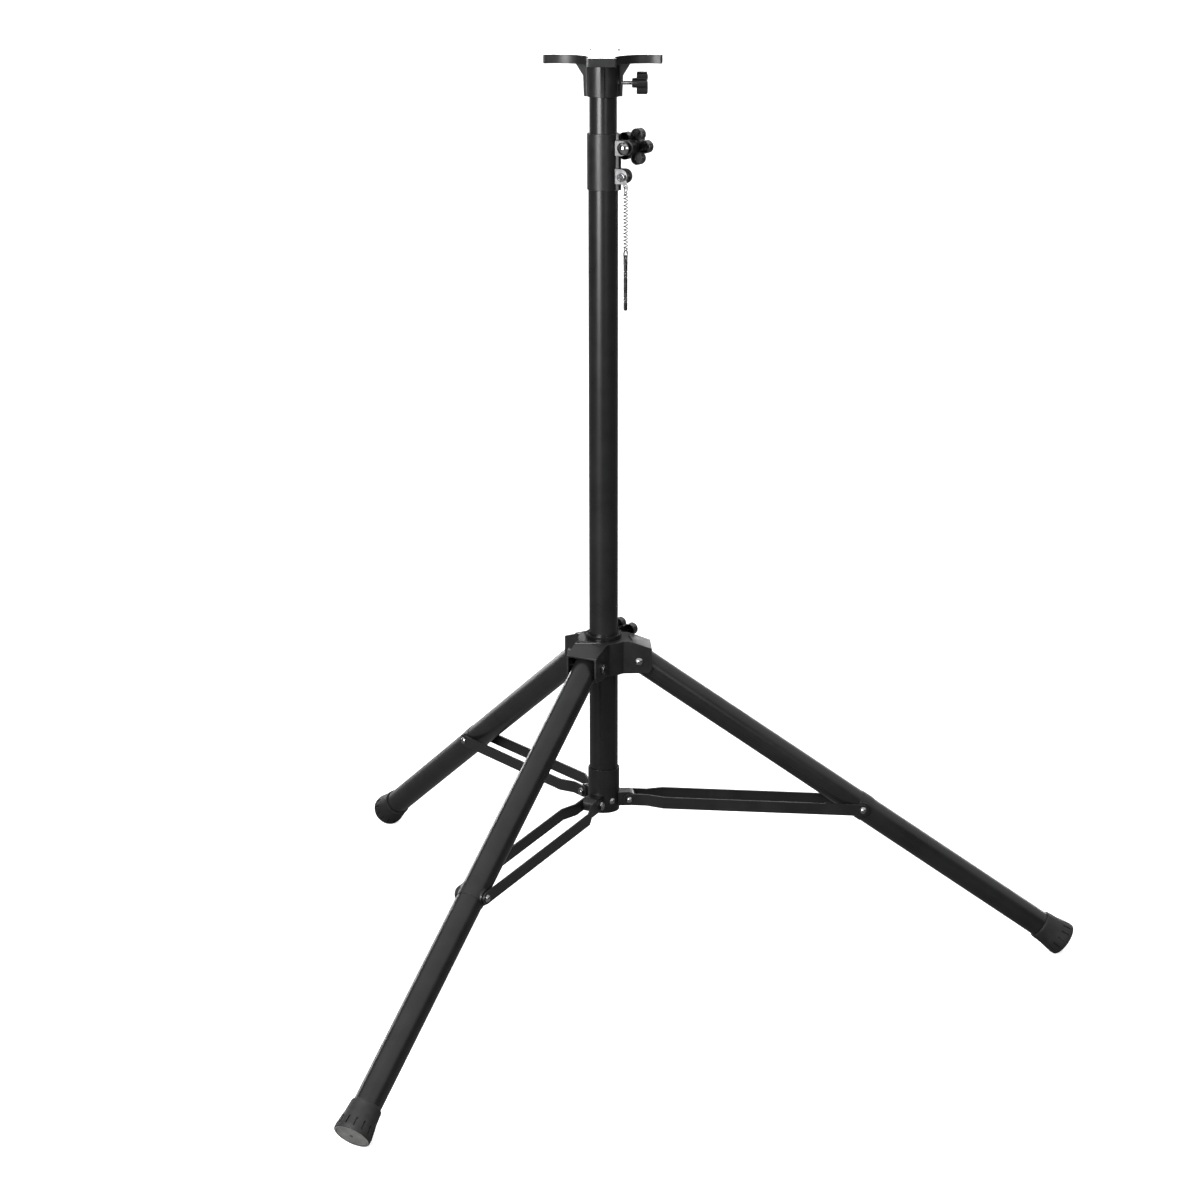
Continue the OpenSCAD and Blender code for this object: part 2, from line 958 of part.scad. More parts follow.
module locking_pin() {
    color("#4a4b4e")
        in_lanyard(pin_top - pin_len)
            difference() {
                union() {
                    translate([0, 0, 1])
                        cylinder(d = pin_d, h = pin_len - 10);
                    cylinder(r1 = pin_d / 2 - 1, r2 = pin_d / 2, h = 1.01);
                    translate([-pin_d / 2, -1.1, pin_len - 9.5])
                        cube([pin_d, 2.2, 9.5]);
                }
                translate([0, 0, pin_len - pin_top + pin_eye_z])
                    cross(1.3, -3, 3);
            }
}

outer_tube();
tube_end_plug();
guide_bush();
clamp_sleeve();
clamp_plates();
knob_bolt();
lower_clamp_bolt();
lower_clamp_nut();
lanyard_eyelet();
bottom_collar();
collar_screw();
collar_pivot_bolts();
collar_pivot_nuts();
pole();
pole_glide();
pole_cap();
mounting_plate();
thumb_screw();
thumb_knob();
clamp_knob();
clamp_knob_insert();
hub_casting();
hub_bush();
hub_pivot_bolts();
hub_pivot_nuts();
hub_knob();
hub_knob_screw();
for (n = legs) {
    leg_tube(n);
    leg_plug(n);
    leg_bracket(n);
    foot(n);
    brace_left(n);
    brace_right(n);
    brace_screws(n);
}
lanyard_hook();
lanyard_spring();
pin_ring();
locking_pin();
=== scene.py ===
# Speaker tripod stand: the looks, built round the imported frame.

import json
import math

import bmesh
import bpy
from mathutils import Matrix, Vector

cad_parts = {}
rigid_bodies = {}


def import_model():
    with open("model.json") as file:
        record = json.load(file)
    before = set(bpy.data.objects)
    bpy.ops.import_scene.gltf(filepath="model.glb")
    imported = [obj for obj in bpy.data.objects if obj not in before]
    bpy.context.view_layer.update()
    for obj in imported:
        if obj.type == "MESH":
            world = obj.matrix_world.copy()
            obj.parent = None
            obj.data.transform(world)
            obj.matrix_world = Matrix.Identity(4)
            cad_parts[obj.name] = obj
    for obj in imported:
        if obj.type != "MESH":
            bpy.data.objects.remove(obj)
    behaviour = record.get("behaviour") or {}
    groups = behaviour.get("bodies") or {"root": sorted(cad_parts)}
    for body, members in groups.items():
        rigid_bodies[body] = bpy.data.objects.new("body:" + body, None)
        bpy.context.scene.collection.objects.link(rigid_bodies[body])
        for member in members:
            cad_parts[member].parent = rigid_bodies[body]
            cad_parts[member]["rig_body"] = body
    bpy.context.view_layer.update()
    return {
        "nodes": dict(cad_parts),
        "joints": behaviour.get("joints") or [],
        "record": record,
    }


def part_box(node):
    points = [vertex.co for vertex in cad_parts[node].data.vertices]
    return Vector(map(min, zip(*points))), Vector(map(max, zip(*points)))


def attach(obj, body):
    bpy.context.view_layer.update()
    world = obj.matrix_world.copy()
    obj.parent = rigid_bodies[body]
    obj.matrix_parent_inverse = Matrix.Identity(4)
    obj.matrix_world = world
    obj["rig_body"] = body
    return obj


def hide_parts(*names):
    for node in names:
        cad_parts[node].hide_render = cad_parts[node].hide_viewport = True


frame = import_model()
scene = bpy.context.scene
joints = {joint["name"]: joint for joint in frame["joints"]}
subparts = frame["record"]["subparts"]
slotOf = {part["node"]: part["material_slot"] for part in subparts}
bodyOf = {name: piece["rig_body"] for name, piece in frame["nodes"].items()}
mm = 0.001
legs = (1, 2, 3)
up = Vector((0, 0, 1))
print("frame loaded:", len(slotOf), "nodes")


def clearSelection():
    active = bpy.context.view_layer.objects.active
    if active and active.mode != "OBJECT":
        bpy.ops.object.mode_set(mode="OBJECT")
    bpy.ops.object.select_all(action="DESELECT")


def makeActive(piece):
    clearSelection()
    piece.select_set(True)
    bpy.context.view_layer.objects.active = piece


def openEdit(piece, selectMode="FACE", action="DESELECT"):
    makeActive(piece)
    bpy.ops.object.mode_set(mode="EDIT")
    bpy.ops.mesh.select_mode(type=selectMode)
    bpy.ops.mesh.select_all(action=action)


def closeEdit():
    bpy.ops.object.mode_set(mode="OBJECT")


def pickFaces(piece, wanted):  # wanted is asked about each face's middle and normal
    mesh = bmesh.from_edit_mesh(piece.data)
    for face in mesh.faces:
        face.select_set(False)
    for face in mesh.faces:
        if wanted(face.calc_center_median(), face.normal):
            face.select_set(True)
    bmesh.update_edit_mesh(piece.data)


def applyModifier(piece, kind, **settings):
    modifier = piece.modifiers.new(kind.title(), kind)
    for setting, value in settings.items():
        setattr(modifier, setting, value)
    makeActive(piece)
    bpy.ops.object.modifier_apply(modifier=modifier.name)


def combine(piece, other, operation="DIFFERENCE"):
    applyModifier(piece, "BOOLEAN", object=other, operation=operation, solver="EXACT")
    bpy.data.objects.remove(other)


def roundEdges(piece, width, steps=2, angle=32, clamp=False):
    applyModifier(piece, "BEVEL", width=width, segments=steps, limit_method="ANGLE",
                  angle_limit=math.radians(angle), use_clamp_overlap=clamp, miter_outer="MITER_ARC")


def smoothSkin(piece, angle=32):
    makeActive(piece)
    bpy.ops.object.shade_smooth_by_angle(angle=math.radians(angle))
    applyModifier(piece, "WEIGHTED_NORMAL", keep_sharp=True, weight=60)


def fixNormals(piece):
    openEdit(piece, "FACE", "SELECT")
    bpy.ops.mesh.remove_doubles(threshold=1e-6)
    bpy.ops.mesh.normals_make_consistent(inside=False)
    closeEdit()


def settle(piece, place=None):  # the place goes into the mesh
    if place is not None:
        piece.matrix_world = place @ piece.matrix_world
    makeActive(piece)
    bpy.ops.object.transform_apply(location=True, rotation=True, scale=True)


def axes(origin, zAxis, yAxis):
    z = Vector(zAxis).normalized()
    y = Vector(yAxis)
    y = (y - z * y.dot(z)).normalized()
    x = y.cross(z)
    return Matrix(((x.x, y.x, z.x, origin[0]), (x.y, y.y, z.y, origin[1]),
                   (x.z, y.z, z.z, origin[2]), (0, 0, 0, 1)))


def nodeSpan(node, place, within=1.0):  # a node's low end, high end and radius along a place's own Z
    inverse = place.inverted()
    points = [inverse @ vertex.co for vertex in frame["nodes"][node].data.vertices]
    points = [point for point in points if math.hypot(point.x, point.y) < within]
    heights = [point.z for point in points]
    return min(heights), max(heights), max(math.hypot(point.x, point.y) for point in points)


def turnShape(profile, sides=48, hollow=False):  # a turned shape from (radius, height) pairs
    clearSelection()
    radius, height = profile[0]
    bpy.ops.mesh.primitive_circle_add(vertices=sides, radius=radius, location=(0, 0, height),
                                      fill_type="NOTHING" if hollow else "NGON")
    piece = bpy.context.object
    openEdit(piece, "EDGE" if hollow else "FACE", "SELECT")
    for nextRadius, nextHeight in profile[1:]:
        lift = {"value": (0, 0, nextHeight - height)}
        bpy.ops.mesh.extrude_region_move(TRANSFORM_OT_translate=lift)
        factor = nextRadius / radius
        bpy.ops.transform.resize(value=(factor, factor, 1), center_override=(0, 0, nextHeight))
        radius, height = nextRadius, nextHeight
    if hollow:
        bpy.ops.mesh.select_all(action="DESELECT")
        bpy.ops.mesh.select_non_manifold()
        bpy.ops.mesh.bridge_edge_loops()
    closeEdit()
    settle(piece)
    fixNormals(piece)
    return piece


def joinPieces(pieces):
    clearSelection()
    for piece in pieces:
        piece.select_set(True)
    bpy.context.view_layer.objects.active = pieces[0]
    bpy.ops.object.join()
    return pieces[0]


def copyPiece(piece):
    twin = piece.copy()
    twin.data = piece.data.copy()
    scene.collection.objects.link(twin)
    return twin


def pieceName(node):
    words = node.split("_")
    return words[0] + "".join(word.title() for word in words[1:])


def middle(node):
    low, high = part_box(node)
    return (low + high) / 2


knobJoint = joints["clamp_knob_turn"]
clampOut = Vector(knobJoint["pos_m"]) * Vector((1, 1, 0))
clampOut.normalize()
clampKnobPlace = axes(knobJoint["pos_m"], knobJoint["axis"], -up)
hubKnobJoint = joints["hub_knob_turn"]
hubKnobPlace = axes(hubKnobJoint["pos_m"], hubKnobJoint["axis"], up)
thumbJoint = joints["thumb_screw_turn"]
thumbPlace = axes(thumbJoint["pos_m"], thumbJoint["axis"], up)
lanyardPlace = axes(joints["lanyard_swing"]["pos_m"], up, knobJoint["axis"])
legPlace, legPivot, collarPivot, legSide = {}, {}, {}, {}
for n in legs:
    legSide[n] = Vector(joints[f"leg_fold_{n}"]["axis"])
    legPivot[n] = Vector(joints[f"leg_fold_{n}"]["pos_m"])
    collarPivot[n] = Vector(joints[f"brace_fold_{n}"]["pos_m"])
    screwMiddle = middle(f"brace_screws_{n}")
    legPlace[n] = axes(legPivot[n], screwMiddle - legPivot[n], legSide[n])


def addNode(tree, kind, inputs=None, **settings):
    node = tree.nodes.new(kind)
    for setting, value in settings.items():
        setattr(node, setting, value)
    for socket, value in (inputs or {}).items():
        node.inputs[socket].default_value = value
    return node


def addSocket(group, name, direction, value=None):
    socket = group.interface.new_socket(name=name, in_out=direction, socket_type="NodeSocketFloat")
    if value is not None:
        socket.default_value = value


def newGroup(name, inputs, outputs):
    group = bpy.data.node_groups.new(name, "ShaderNodeTree")
    for socket, value in inputs.items():
        addSocket(group, socket, "INPUT", value)
    for socket in outputs:
        addSocket(group, socket, "OUTPUT")
    return group, group.nodes.new("NodeGroupInput"), group.nodes.new("NodeGroupOutput")


def buildGrain():  # fine relief and broad mottling over any surface
    sizes = {"Grain Size": 1500, "Mottle Size": 30}
    group, given, made = newGroup("surfaceGrain", sizes, ("Relief", "Mottle"))
    place = addNode(group, "ShaderNodeTexCoord")
    fine = addNode(group, "ShaderNodeTexNoise", {"Detail": 3, "Roughness": 0.62})
    broad = addNode(group, "ShaderNodeTexNoise", {"Detail": 5, "Roughness": 0.6})
    spread = addNode(group, "ShaderNodeMapRange", {"From Min": 0.34, "From Max": 0.66})
    for texture, size in ((fine, "Grain Size"), (broad, "Mottle Size")):
        group.links.new(place.outputs["Object"], texture.inputs["Vector"])
        group.links.new(given.outputs[size], texture.inputs["Scale"])
    group.links.new(broad.outputs["Fac"], spread.inputs["Value"])
    group.links.new(fine.outputs["Fac"], made.inputs["Relief"])
    group.links.new(spread.outputs["Result"], made.inputs["Mottle"])
    return group


def buildEdgeWear():  # marks outer edges, broken up so that the wear isn't even
    group, given, made = newGroup("edgeWear", {"Reach": 0.0008, "Amount": 1, "Patch Size": 220}, ("Worn",))
    place = addNode(group, "ShaderNodeTexCoord")
    soft = addNode(group, "ShaderNodeBevel", samples=4)
    hard = addNode(group, "ShaderNodeNewGeometry")
    facing = addNode(group, "ShaderNodeVectorMath", operation="DOT_PRODUCT")
    turned = addNode(group, "ShaderNodeMapRange", {"From Min": 0.995, "From Max": 0.9})
    patches = addNode(group, "ShaderNodeTexNoise", {"Detail": 4, "Roughness": 0.7})
    broken = addNode(group, "ShaderNodeMapRange", {"From Min": 0.45, "From Max": 0.62})
    both = addNode(group, "ShaderNodeMath", operation="MULTIPLY")
    scaled = addNode(group, "ShaderNodeMath", operation="MULTIPLY", use_clamp=True)
    links = group.links
    links.new(given.outputs["Reach"], soft.inputs["Radius"])
    links.new(soft.outputs["Normal"], facing.inputs[0])
    links.new(hard.outputs["Normal"], facing.inputs[1])
    links.new(facing.outputs["Value"], turned.inputs["Value"])
    links.new(place.outputs["Object"], patches.inputs["Vector"])
    links.new(given.outputs["Patch Size"], patches.inputs["Scale"])
    links.new(patches.outputs["Fac"], broken.inputs["Value"])
    links.new(turned.outputs["Result"], both.inputs[0])
    links.new(broken.outputs["Result"], both.inputs[1])
    links.new(both.outputs["Value"], scaled.inputs[0])
    links.new(given.outputs["Amount"], scaled.inputs[1])
    links.new(scaled.outputs["Value"], made.inputs["Worn"])
    return group


def buildRubs():  # long faint scuffs that run up and down a piece
    group, given, made = newGroup("handlingRubs", {"Size": 90, "Amount": 1}, ("Rubbed",))
    place = addNode(group, "ShaderNodeTexCoord")
    stretch = addNode(group, "ShaderNodeMapping", {"Scale": (1, 1, 0.06)})
    marks = addNode(group, "ShaderNodeTexNoise", {"Detail": 6, "Roughness": 0.75})
    few = addNode(group, "ShaderNodeMapRange", {"From Min": 0.6, "From Max": 0.74})
    scaled = addNode(group, "ShaderNodeMath", operation="MULTIPLY", use_clamp=True)
    links = group.links
    links.new(place.outputs["Object"], stretch.inputs["Vector"])
    links.new(stretch.outputs["Vector"], marks.inputs["Vector"])
    links.new(given.outputs["Size"], marks.inputs["Scale"])
    links.new(marks.outputs["Fac"], few.inputs["Value"])
    links.new(few.outputs["Result"], scaled.inputs[0])
    links.new(given.outputs["Amount"], scaled.inputs[1])
    links.new(scaled.outputs["Value"], made.inputs["Rubbed"])
    return group


grainGroup, wearGroup, rubGroup = buildGrain(), buildEdgeWear(), buildRubs()


def placeGroup(tree, group, **values):
    node = addNode(tree, "ShaderNodeGroup", node_tree=group)
    for socket, value in values.items():
        node.inputs[socket.replace("_", " ")].default_value = value
    return node


def mixColours(tree, mask, first, second):
    mix = addNode(tree, "ShaderNodeMix", data_type="RGBA")
    for socket, colour in ((6, first), (7, second)):
        if isinstance(colour, bpy.types.NodeSocket):
            tree.links.new(colour, mix.inputs[socket])
        else:
            mix.inputs[socket].default_value = (*colour, 1)
    tree.links.new(mask, mix.inputs[0])
    return mix.outputs[2]


def mixValues(tree, mask, first, second):
    mix = addNode(tree, "ShaderNodeMix", data_type="FLOAT")
    for socket, value in ((2, first), (3, second)):
        if isinstance(value, bpy.types.NodeSocket):
            tree.links.new(value, mix.inputs[socket])
        else:
            mix.inputs[socket].default_value = value
    tree.links.new(mask, mix.inputs[0])
    return mix.outputs[0]


def makeFinish(name, look):  # one recipe, with each finish's own values
    material = bpy.data.materials.new(name)
    material.use_nodes = True
    tree = material.node_tree
    shader = tree.nodes["Principled BSDF"]
    grain = placeGroup(tree, grainGroup, Grain_Size=look["grainSize"], Mottle_Size=look["mottleSize"])
    wear = placeGroup(tree, wearGroup, Reach=look["wearReach"], Amount=look["wear"])
    rubs = placeGroup(tree, rubGroup, Size=look["rubSize"], Amount=look["rubs"])
    mottled = mixColours(tree, grain.outputs["Mottle"], look["dark"], look["light"])
    rubbed = mixColours(tree, rubs.outputs["Rubbed"], mottled, look["rubbed"])
    worn = mixColours(tree, wear.outputs["Worn"], rubbed, look["worn"])
    smooth, rough = look["roughness"]
    evenness = mixValues(tree, grain.outputs["Mottle"], smooth, rough)
    dulled = mixValues(tree, rubs.outputs["Rubbed"], evenness, look["rubbedRoughness"])
    bump = addNode(tree, "ShaderNodeBump", {"Strength": look["reliefStrength"], "Distance": look["relief"]})
    tree.links.new(worn, shader.inputs["Base Color"])
    tree.links.new(dulled, shader.inputs["Roughness"])
    tree.links.new(grain.outputs["Relief"], bump.inputs["Height"])
    tree.links.new(bump.outputs["Normal"], shader.inputs["Normal"])
    shader.inputs["Metallic"].default_value = look["metal"]
    shader.inputs["Specular IOR Level"].default_value = look["gloss"]
    return material


paint = {
    "dark": (0.0055, 0.0056, 0.006), "light": (0.009, 0.0091, 0.0098), "worn": (0.06, 0.06, 0.062),
    "rubbed": (0.014, 0.014, 0.0144), "roughness": (0.27, 0.3), "rubbedRoughness": 0.36, "metal": 0,
    "gloss": 0.34, "grainSize": 1400, "mottleSize": 26, "relief": 0.00005, "reliefStrength": 0.08,
    "wearReach": 0.0007, "wear": 0.5, "rubSize": 80, "rubs": 0.12}
castPaint = {
    **paint, "roughness": (0.33, 0.42), "grainSize": 900, "relief": 0.0002, "reliefStrength": 0.3,
    "mottleSize": 45, "wearReach": 0.0011, "wear": 0.7}
strapPaint = {
    **paint, "roughness": (0.32, 0.4), "grainSize": 1100, "wearReach": 0.0006, "wear": 0.8, "rubs": 0.5}
plastic = {
    **paint, "dark": (0.005, 0.005, 0.0052), "light": (0.008, 0.008, 0.0083), "worn": (0.03, 0.03, 0.031),
    "roughness": (0.2, 0.27), "grainSize": 2200, "relief": 0.00008, "reliefStrength": 0.15,
    "gloss": 0.45, "wear": 0.4, "rubs": 0.2, "rubbed": (0.012, 0.012, 0.0125)}
bushPlastic = {
    **plastic, "dark": (0.003, 0.003, 0.003), "light": (0.005, 0.005, 0.005), "roughness": (0.16, 0.22),
    "worn": (0.02, 0.02, 0.02)}
zinc = {
    **paint, "dark": (0.12, 0.12, 0.123), "light": (0.2, 0.2, 0.204), "worn": (0.5, 0.5, 0.51),
    "rubbed": (0.1, 0.1, 0.102), "roughness": (0.3, 0.4), "rubbedRoughness": 0.46, "metal": 1,
    "gloss": 0.5, "grainSize": 600, "mottleSize": 160, "relief": 0.00008, "reliefStrength": 0.25,
    "wear": 0.6, "rubSize": 240, "rubs": 0.5}
brightSteel = {
    **zinc, "dark": (0.24, 0.24, 0.245), "light": (0.36, 0.36, 0.365), "roughness": (0.12, 0.19), "rubs": 0.3}
darkWire = {
    **paint, "dark": (0.012, 0.012, 0.012), "light": (0.024, 0.024, 0.025), "worn": (0.08, 0.08, 0.08),
    "rubbed": (0.04, 0.04, 0.04), "roughness": (0.3, 0.4)}
darkSteel = {
    **zinc, "dark": (0.03, 0.03, 0.031), "light": (0.055, 0.055, 0.057), "worn": (0.25, 0.25, 0.255),
    "rubbed": (0.09, 0.09, 0.092), "roughness": (0.26, 0.36)}
platePaint = {**castPaint, "roughness": (0.16, 0.22), "gloss": 0.5, "relief": 0.00006, "reliefStrength": 0.1}
brassInsert = {
    **zinc, "dark": (0.44, 0.31, 0.12), "light": (0.6, 0.45, 0.2), "worn": (0.74, 0.6, 0.34),
    "rubbed": (0.35, 0.25, 0.1)}
rubber = {
    **paint, "dark": (0.008, 0.008, 0.008), "light": (0.015, 0.015, 0.015), "worn": (0.06, 0.059, 0.057),
    "rubbed": (0.035, 0.034, 0.033), "roughness": (0.5, 0.62), "rubbedRoughness": 0.75, "gloss": 0.3,
    "grainSize": 1800, "mottleSize": 60, "relief": 0.00025, "reliefStrength": 0.5, "wear": 0.7, "rubs": 0.5,
    "rubSize": 160}
# light grey rubber for the sole's end face: painted light, standing in for the floor's bounce light on that
# face
paintedBounceSole = {
    **rubber, "dark": (0.12, 0.119, 0.117), "light": (0.2, 0.198, 0.195), "rubbed": (0.27, 0.265, 0.26),
    "worn": (0.3, 0.3, 0.29)}
finishes = {
    "black_tube": makeFinish("tubePowderCoat", paint),
    "black_casting": makeFinish("castingPaint", castPaint),
    "black_strap": makeFinish("strapPaint", strapPaint),
    "black_plastic": makeFinish("mouldedPlastic", plastic),
    "dark_plastic": makeFinish("bushPlastic", bushPlastic),
    "plated_steel": makeFinish("zincPlate", zinc),
    "screw_steel": makeFinish("brightSteel", brightSteel),
    "pin_steel": makeFinish("oiledSteel", darkSteel),
    "brass": makeFinish("brassInsert", brassInsert),
    "rubber": makeFinish("bootRubber", rubber)}
paintedBounceSoleFinish = makeFinish("paintedBounceSole", paintedBounceSole)
wireFinish = makeFinish("darkWire", darkWire)
plateFinish = makeFinish("smoothPlatePaint", platePaint)
for name, cadNode in frame["nodes"].items():
    cadNode.data.materials.clear()
    cadNode.data.materials.append(finishes[slotOf[name]])
print("finishes made:", len(bpy.data.materials))


def dressPiece(piece, node, moreFinishes=()):  # the piece stands for a CAD node from here on
    piece.name = pieceName(node)
    piece.data.name = piece.name
    if not piece.data.materials:
        piece.data.materials.append(finishes[slotOf[node]])
    for finish in moreFinishes:
        piece.data.materials.append(finish)
    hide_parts(node)
    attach(piece, bodyOf[node])
    return piece


quartered = ("hub_casting",)


def cutIntoQuarters(piece):  # seams across the flat underside keep the hole in it open
    for across in ((1, 0, 0), (0, 1, 0)):
        bpy.ops.mesh.select_mode(type="FACE")
        pickFaces(piece, lambda centre, normal: normal.z < -0.99)
        bpy.ops.mesh.select_mode(type="VERT")
        bpy.ops.mesh.bisect(plane_co=(0, 0, 0), plane_no=across)
        bpy.ops.mesh.mark_seam()
    bpy.ops.mesh.select_all(action="SELECT")


def copyNode(node):
    clearSelection()
    piece = bpy.data.objects.new(pieceName(node), frame["nodes"][node].data.copy())
    scene.collection.objects.link(piece)
    openEdit(piece, "VERT", "SELECT")
    bpy.ops.mesh.customdata_custom_splitnormals_clear()
    bpy.ops.mesh.remove_doubles(threshold=2e-6)
    if node in quartered:
        cutIntoQuarters(piece)
    bpy.ops.mesh.dissolve_limited(angle_limit=math.radians(0.4), delimit={"NORMAL", "SEAM"})
    closeEdit()
    return piece


edgeRounding = {  # rounded edge's width in mm, for each solid that keeps its CAD shape
    "outer_tube": 0.3, "pole": 0.25, "guide_bush": 0.5, "clamp_sleeve": 0.7, "clamp_plates": 0.35,
    "lanyard_eyelet": 0.25, "bottom_collar": 0.6, "mounting_plate": 0.7, "hub_casting": 1.2,
    "hub_bush": 0.5, "tube_end_plug": 0.4, "pole_cap": 0.3}
for n in legs:
    edgeRounding[f"leg_tube_{n}"] = 0.25
    edgeRounding[f"leg_bracket_{n}"] = 0.4
    edgeRounding[f"brace_left_{n}"] = 0.45
    edgeRounding[f"brace_right_{n}"] = 0.45
plate = {"corner": 5, "cornerSteps": 5, "leastUpright": 2, "tipMargin": 0.1, "topLevel": 0.9}


def roundPlateCorners(piece):  # the upright edges at the ends of the four arms
    turn = Vector(thumbJoint["axis"]).to_2d().angle_signed(Vector((1, 0)))
    along = [Matrix.Rotation(-turn, 3, "Z") @ vertex.co for vertex in piece.data.vertices]
    tip = max(point.x for point in along) - plate["tipMargin"] * mm
    openEdit(piece, "EDGE")
    mesh = bmesh.from_edit_mesh(piece.data)
    for edge in mesh.edges:
        level = abs(edge.verts[0].co.z - edge.verts[1].co.z)
        first, second = (along[vertex.index] for vertex in edge.verts)
        halfway = (first + second) / 2
        atTip = max(abs(halfway.x), abs(halfway.y)) > tip
        edge.select_set(atTip and level > plate["leastUpright"] * mm)
    bmesh.update_edit_mesh(piece.data)
    bpy.ops.mesh.bevel(offset=plate["corner"] * mm, segments=plate["cornerSteps"])
    closeEdit()


def coatTop(piece):  # the flat top is smoother than the cast sides
    piece.data.materials.append(plateFinish)
    for face in piece.data.polygons:
        if face.normal.z > plate["topLevel"]:
            face.material_index = 1


for node, width in edgeRounding.items():
    piece = copyNode(node)
    if node == "mounting_plate":
        roundPlateCorners(piece)
    roundEdges(piece, width * mm)
    smoothSkin(piece)
    if node == "mounting_plate":
        coatTop(piece)
    dressPiece(piece, node)
print("castings, straps and tubes dressed:", len(edgeRounding))


def lobedDisc(look, sides=240):  # a flat disc with round lobes, drawn by angle
    clearSelection()
    bpy.ops.mesh.primitive_circle_add(vertices=sides, radius=look["size"] * mm, fill_type="NGON")
    disc = bpy.context.object
    lobe = look["lobe"] * mm
    ring = look["size"] * mm - lobe
    step = math.tau / look["lobes"]
    for vertex in disc.data.vertices:
        angle = math.atan2(vertex.co.y, vertex.co.x)
        off = (angle + step / 2) % step - step / 2
        inside = lobe ** 2 - (ring * math.sin(off)) ** 2
        reach = ring * math.cos(off) + math.sqrt(inside) if inside > 0 else 0
        reach = max(reach, look["core"] * mm)
        vertex.co = Vector((math.cos(angle), math.sin(angle), 0)) * reach
    return disc


bigKnob = {
    "size": 23.9, "lobe": 8.3, "core": 14.6, "lobes": 5, "depth": 11.2, "crown": 0.8, "crownInset": 2.6,
    "cupWall": 1.5, "cupDepth": 9, "neck": 8, "neckLength": 5.6, "cap": 8, "capRise": 2.2, "bore": 6.05,
    "boreDepth": 10.5, "rounding": 0.55}


def makeBigKnob():  # back plane at z = 0, with the hollow lobes open towards -z
    disc = lobedDisc(bigKnob)
    openEdit(disc, "FACE", "SELECT")
    bpy.ops.mesh.extrude_region_move(TRANSFORM_OT_translate={"value": (0, 0, bigKnob["depth"] * mm)})
    bpy.ops.mesh.inset(thickness=bigKnob["crownInset"] * mm, depth=bigKnob["crown"] * mm)
    closeEdit()
    fixNormals(disc)
    top = (bigKnob["depth"] + bigKnob["crown"]) * mm
    rise = bigKnob["capRise"] * mm
    cap = bigKnob["cap"] * mm
    domed = turnShape([
        (cap, top - 2 * mm), (cap, top + 0.45 * rise), (0.86 * cap, top + 0.85 * rise),
        (0.55 * cap, top + rise), (0.5 * cap, top + 0.8 * rise), (0.2 * cap, top + 0.8 * rise)])
    combine(disc, domed, "UNION")
    neck, neckFoot, chamfer = bigKnob["neck"] * mm, -bigKnob["neckLength"] * mm, 0.5 * mm
    stem = turnShape([(neck - chamfer, neckFoot), (neck, chamfer + neckFoot), (neck, 2 * mm)])
    combine(disc, stem, "UNION")
    ring = (bigKnob["size"] - bigKnob["lobe"]) * mm
    cups = []
    for index in range(bigKnob["lobes"]):
        angle = index * math.tau / bigKnob["lobes"]
        clearSelection()
        bpy.ops.mesh.primitive_cylinder_add(
            vertices=40, radius=(bigKnob["lobe"] - bigKnob["cupWall"]) * mm,
            depth=2 * bigKnob["cupDepth"] * mm,
            location=(ring * math.cos(angle), ring * math.sin(angle), 0))
        cups.append(bpy.context.object)
    cups = joinPieces(cups)
    settle(cups)
    neckKeep = turnShape([(neck + 0.8 * mm, -20 * mm), (neck + 0.8 * mm, 20 * mm)])
    combine(cups, neckKeep)
    combine(disc, cups)
    bore = bigKnob["bore"] * mm
    combine(disc, turnShape([(bore, -20 * mm), (bore, bigKnob["boreDepth"] * mm)]))
    roundEdges(disc, bigKnob["rounding"] * mm, 3, 40)
    smoothSkin(disc, 40)
    return disc


knobShape = makeBigKnob()
for node, place in (("clamp_knob", clampKnobPlace), ("hub_knob", hubKnobPlace)):
    knob = copyPiece(knobShape)
    low = nodeSpan(node, place)[0]
    lift = low + bigKnob["neckLength"] * mm
    settle(knob, place @ Matrix.Translation((0, 0, lift)))
    dressPiece(knob, node)
bpy.data.objects.remove(knobShape)

thumbKnob = {"size": 15, "lobe": 5, "core": 11.6, "lobes": 6, "stem": 6, "stemLength": 6, "rounding": 0.9}


def makeThumbKnob():
    low, high, _ = nodeSpan("thumb_knob", thumbPlace)
    disc = lobedDisc(thumbKnob, 180)
    depth = high - low - thumbKnob["stemLength"] * mm
    openEdit(disc, "FACE", "SELECT")
    bpy.ops.mesh.extrude_region_move(TRANSFORM_OT_translate={"value": (0, 0, depth - 1 * mm)})
    bpy.ops.mesh.inset(thickness=2.2 * mm, depth=1 * mm)
    bpy.ops.mesh.inset(thickness=1.6 * mm, depth=-0.6 * mm)
    closeEdit()
    fixNormals(disc)
    stem = thumbKnob["stem"] * mm
    foot = -thumbKnob["stemLength"] * mm
    stalk = turnShape([(stem - 0.6 * mm, foot), (stem, 0.7 * mm + foot), (stem + 0.4 * mm, 3 * mm)])
    combine(disc, stalk, "UNION")
    combine(disc, turnShape([(2.6 * mm, -10 * mm), (2.6 * mm, 3.5 * mm)], 32))
    roundEdges(disc, thumbKnob["rounding"] * mm, 3, 40, clamp=True)
    smoothSkin(disc, 40)
    settle(disc, thumbPlace @ Matrix.Translation((0, 0, low + thumbKnob["stemLength"] * mm)))
    return disc


dressPiece(makeThumbKnob(), "thumb_knob")
print("knobs made")


def threads(radius, start, end, pitch=1.0):  # ridges of a thread, as (radius, height) pairs in mm
    points = []
    height = start
    while height + pitch <= end:
        points += [(radius - 0.3, height), (radius, height + pitch / 2)]
        height += pitch
    return points


